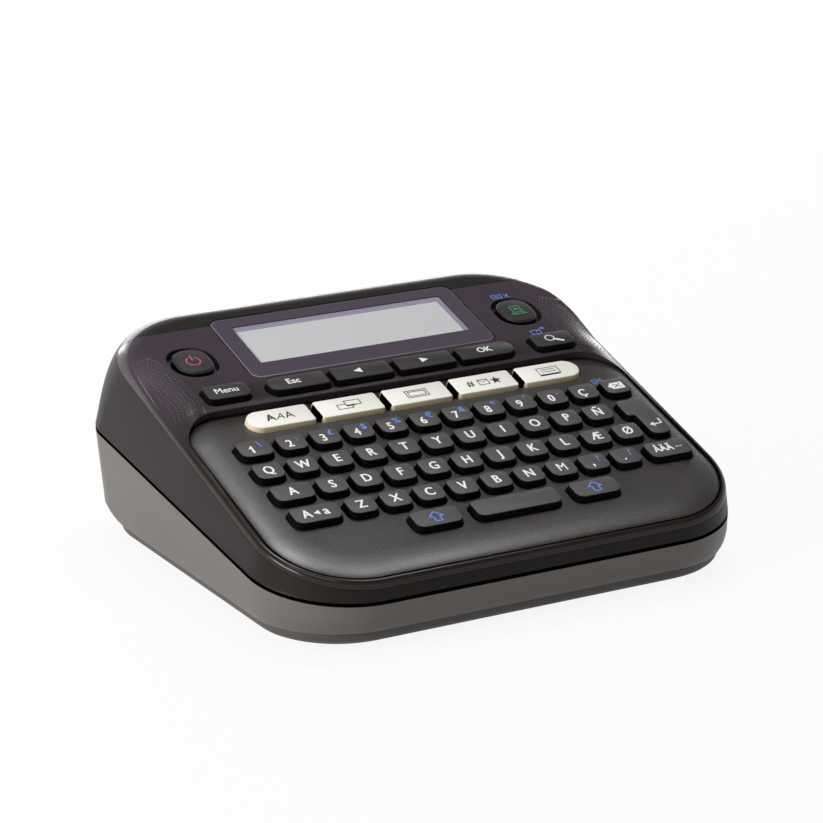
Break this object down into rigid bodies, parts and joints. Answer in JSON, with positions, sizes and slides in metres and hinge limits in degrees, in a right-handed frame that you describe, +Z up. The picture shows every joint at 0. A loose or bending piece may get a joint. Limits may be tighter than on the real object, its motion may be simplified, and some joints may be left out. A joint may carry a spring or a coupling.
{
  "type": "label maker",
  "caption": "Desktop label printer with a typewriter keyboard, a display, a tape bay with cutter, and a cover over the bays below.",
  "frame": {"origin": "centre of the footprint of the body, on the surface that the feet stand on", "axes": "+X to the user's right, +Y away from the user, +Z up"},
  "size_m": [0.157, 0.149, 0.0662],
  "materials": {
    "lower_shell": "satin dark grey",
    "upper_shell": "satin charcoal",
    "gloss_frame": "high gloss",
    "deck_plate": "fine matte",
    "lens": "clear gloss with tinted border",
    "display": "grey",
    "circuit_board": "solder mask",
    "key_mat": "matte",
    "steel": "plated",
    "cover": "satin",
    "foot_rubber": "matte",
    "black_plastic": "satin",
    "key_cap": "satin",
    "white_key": "satin",
    "metal_frame": "pressed sheet",
    "brass": "turned",
    "gear_plastic": "moulded",
    "roller_rubber": "ground",
    "ceramic": "ceramic glaze",
    "cells": "plain sleeve on a metal can",
    "cassette": "smoked",
    "tape": "paper and film"
  },
  "bodies": {
    "body": {"lower_housing": "lower_shell", "upper_housing": "upper_shell", "face_frame": "gloss_frame", "keyboard_plate": "deck_plate", "display_lens": "lens", "display_module": "display", "display_board": "circuit_board", "panel_key_mat": "key_mat", "main_board": "circuit_board", "board_screws": "steel", "key_mat": "key_mat", "housing_screws": "steel", "dc_jack": "black_plastic", "mechanism_frame": "metal_frame", "motor": "metal_frame", "cutter_frame": "steel", "battery_contacts": "steel"},
    "cover": {"back_cover": "cover", "feet": "foot_rubber"},
    "cells": {"batteries": "cells"},
    "cassette": {"cassette_case": "cassette", "tape_roll": "tape"},
    "take_up": {"take_up_spool": "black_plastic"},
    "platen": {"platen_shaft": "steel", "platen_roller": "roller_rubber", "platen_gear": "gear_plastic"},
    "second": {"second_gear": "gear_plastic"},
    "first": {"first_gear": "gear_plastic"},
    "pinion": {"motor_pinion": "brass"},
    "ribbon": {"ribbon_drive": "gear_plastic"},
    "head": {"head_arm": "metal_frame", "print_head": "ceramic", "head_spring": "steel"},
    "cutter": {"moving_blade": "steel", "cutter_lever": "black_plastic"},
    "text_style_key": {"text_style_key": "white_key"},
    "label_type_key": {"label_type_key": "white_key"},
    "frame_key": {"frame_key": "white_key"},
    "symbol_key": {"symbol_key": "white_key"},
    "file_key": {"file_key": "white_key"},
    "backspace_key": {"backspace_key": "key_cap"},
    "enter_key": {"enter_key": "key_cap"},
    "caps_key": {"caps_key": "key_cap"},
    "accent_key": {"accent_key": "key_cap"},
    "shift_left_key": {"shift_left_key": "key_cap"},
    "space_key": {"space_key": "key_cap"},
    "shift_right_key": {"shift_right_key": "key_cap"},
    "number_keys": {"number_keys": "key_cap"},
    "upper_letter_keys": {"upper_letter_keys": "key_cap"},
    "home_letter_keys": {"home_letter_keys": "key_cap"},
    "lower_letter_keys": {"lower_letter_keys": "key_cap"},
    "power_key": {"power_key": "key_cap"},
    "print_key": {"print_key": "key_cap"},
    "menu_key": {"menu_key": "key_cap"},
    "preview_key": {"preview_key": "key_cap"},
    "escape_key": {"escape_key": "key_cap"},
    "cursor_left_key": {"cursor_left_key": "key_cap"},
    "cursor_right_key": {"cursor_right_key": "key_cap"},
    "ok_key": {"ok_key": "key_cap"}
  },
  "joints": [
    {"name": "cover_lift", "type": "slide", "parent": "body", "child": "cover", "axis": [0, 0, -1], "range_m": [0, 0.06]},
    {"name": "cassette_lift", "type": "slide", "parent": "body", "child": "cassette", "axis": [0, 0, -1], "range_m": [0, 0.03]},
    {"name": "cells_lift", "type": "slide", "parent": "body", "child": "cells", "axis": [0, 0, -1], "range_m": [0, 0.03]},
    {"name": "platen_spin", "type": "hinge", "parent": "body", "child": "platen", "pos_m": [-0.0372, 0.044, 0.0154], "axis": [0, 0, 1], "continuous": true},
    {"name": "second_gear_spin", "type": "hinge", "parent": "body", "child": "second", "pos_m": [-0.02871, 0.03783, 0.03], "axis": [0, 0, 1], "continuous": true},
    {"name": "first_gear_spin", "type": "hinge", "parent": "body", "child": "first", "pos_m": [-0.02271, 0.04822, 0.032], "axis": [0, 0, 1], "continuous": true},
    {"name": "motor_spin", "type": "hinge", "parent": "body", "child": "pinion", "pos_m": [-0.01096, 0.0525, 0.034], "axis": [0, 0, 1], "continuous": true},
    {"name": "ribbon_spin", "type": "hinge", "parent": "body", "child": "ribbon", "pos_m": [-0.01837, 0.03407, 0.02], "axis": [0, 0, 1], "continuous": true},
    {"name": "take_up_spin", "type": "hinge", "parent": "cassette", "child": "take_up", "pos_m": [-0.01837, 0.03407, 0.015], "axis": [0, 0, 1], "continuous": true},
    {"name": "head_swing", "type": "hinge", "parent": "body", "child": "head", "pos_m": [-0.0298, 0.024, 0.0154], "axis": [0, 0, -1], "range_deg": [0, 8], "stiffness_Nm_per_rad": 0.08},
    {"name": "cutter_swing", "type": "hinge", "parent": "body", "child": "cutter", "pos_m": [-0.006, 0.0665, 0.0115], "axis": [0, -1, 0], "range_deg": [0, 30.5], "stiffness_Nm_per_rad": 0.05},
    {"name": "text_style_key_press", "type": "slide", "parent": "body", "child": "text_style_key", "axis": [0, 0.3049, -0.9524], "range_m": [0, 0.001], "stiffness_N_per_m": 300},
    {"name": "label_type_key_press", "type": "slide", "parent": "body", "child": "label_type_key", "axis": [0, 0.3049, -0.9524], "range_m": [0, 0.001], "stiffness_N_per_m": 300},
    {"name": "frame_key_press", "type": "slide", "parent": "body", "child": "frame_key", "axis": [0, 0.3049, -0.9524], "range_m": [0, 0.001], "stiffness_N_per_m": 300},
    {"name": "symbol_key_press", "type": "slide", "parent": "body", "child": "symbol_key", "axis": [0, 0.3049, -0.9524], "range_m": [0, 0.001], "stiffness_N_per_m": 300},
    {"name": "file_key_press", "type": "slide", "parent": "body", "child": "file_key", "axis": [0, 0.3049, -0.9524], "range_m": [0, 0.001], "stiffness_N_per_m": 300},
    {"name": "backspace_key_press", "type": "slide", "parent": "body", "child": "backspace_key", "axis": [0, 0.3049, -0.9524], "range_m": [0, 0.001], "stiffness_N_per_m": 300},
    {"name": "enter_key_press", "type": "slide", "parent": "body", "child": "enter_key", "axis": [0, 0.3049, -0.9524], "range_m": [0, 0.001], "stiffness_N_per_m": 300},
    {"name": "caps_key_press", "type": "slide", "parent": "body", "child": "caps_key", "axis": [0, 0.3049, -0.9524], "range_m": [0, 0.001], "stiffness_N_per_m": 300},
    {"name": "accent_key_press", "type": "slide", "parent": "body", "child": "accent_key", "axis": [0, 0.3049, -0.9524], "range_m": [0, 0.001], "stiffness_N_per_m": 300},
    {"name": "shift_left_key_press", "type": "slide", "parent": "body", "child": "shift_left_key", "axis": [0, 0.3049, -0.9524], "range_m": [0, 0.001], "stiffness_N_per_m": 300},
    {"name": "space_key_press", "type": "slide", "parent": "body", "child": "space_key", "axis": [0, 0.3049, -0.9524], "range_m": [0, 0.001], "stiffness_N_per_m": 300},
    {"name": "shift_right_key_press", "type": "slide", "parent": "body", "child": "shift_right_key", "axis": [0, 0.3049, -0.9524], "range_m": [0, 0.001], "stiffness_N_per_m": 300},
    {"name": "number_keys_press", "type": "slide", "parent": "body", "child": "number_keys", "axis": [0, 0.3049, -0.9524], "range_m": [0, 0.001], "stiffness_N_per_m": 300},
    {"name": "upper_letter_keys_press", "type": "slide", "parent": "body", "child": "upper_letter_keys", "axis": [0, 0.3049, -0.9524], "range_m": [0, 0.001], "stiffness_N_per_m": 300},
    {"name": "home_letter_keys_press", "type": "slide", "parent": "body", "child": "home_letter_keys", "axis": [0, 0.3049, -0.9524], "range_m": [0, 0.001], "stiffness_N_per_m": 300},
    {"name": "lower_letter_keys_press", "type": "slide", "parent": "body", "child": "lower_letter_keys", "axis": [0, 0.3049, -0.9524], "range_m": [0, 0.001], "stiffness_N_per_m": 300},
    {"name": "power_key_press", "type": "slide", "parent": "body", "child": "power_key", "axis": [0, 0.2907, -0.9568], "range_m": [0, 0.001], "stiffness_N_per_m": 300},
    {"name": "print_key_press", "type": "slide", "parent": "body", "child": "print_key", "axis": [0, 0.2907, -0.9568], "range_m": [0, 0.001], "stiffness_N_per_m": 300},
    {"name": "menu_key_press", "type": "slide", "parent": "body", "child": "menu_key", "axis": [0, 0.2907, -0.9568], "range_m": [0, 0.001], "stiffness_N_per_m": 300},
    {"name": "preview_key_press", "type": "slide", "parent": "body", "child": "preview_key", "axis": [0, 0.2907, -0.9568], "range_m": [0, 0.001], "stiffness_N_per_m": 300},
    {"name": "escape_key_press", "type": "slide", "parent": "body", "child": "escape_key", "axis": [0, 0.2907, -0.9568], "range_m": [0, 0.001], "stiffness_N_per_m": 300},
    {"name": "cursor_left_key_press", "type": "slide", "parent": "body", "child": "cursor_left_key", "axis": [0, 0.2907, -0.9568], "range_m": [0, 0.001], "stiffness_N_per_m": 300},
    {"name": "cursor_right_key_press", "type": "slide", "parent": "body", "child": "cursor_right_key", "axis": [0, 0.2907, -0.9568], "range_m": [0, 0.001], "stiffness_N_per_m": 300},
    {"name": "ok_key_press", "type": "slide", "parent": "body", "child": "ok_key", "axis": [0, 0.2907, -0.9568], "range_m": [0, 0.001], "stiffness_N_per_m": 300}
  ],
  "couplings": [
    {"joint": "cassette_lift", "follows": "cover_lift", "ratio": 0.5},
    {"joint": "cells_lift", "follows": "cover_lift", "ratio": 0.5},
    {"joint": "second_gear_spin", "follows": "platen_spin", "ratio": -2.5},
    {"joint": "first_gear_spin", "follows": "platen_spin", "ratio": 7.5},
    {"joint": "motor_spin", "follows": "platen_spin", "ratio": -30},
    {"joint": "ribbon_spin", "follows": "platen_spin", "ratio": 0.9375},
    {"joint": "take_up_spin", "follows": "platen_spin", "ratio": 0.9375}
  ]
}
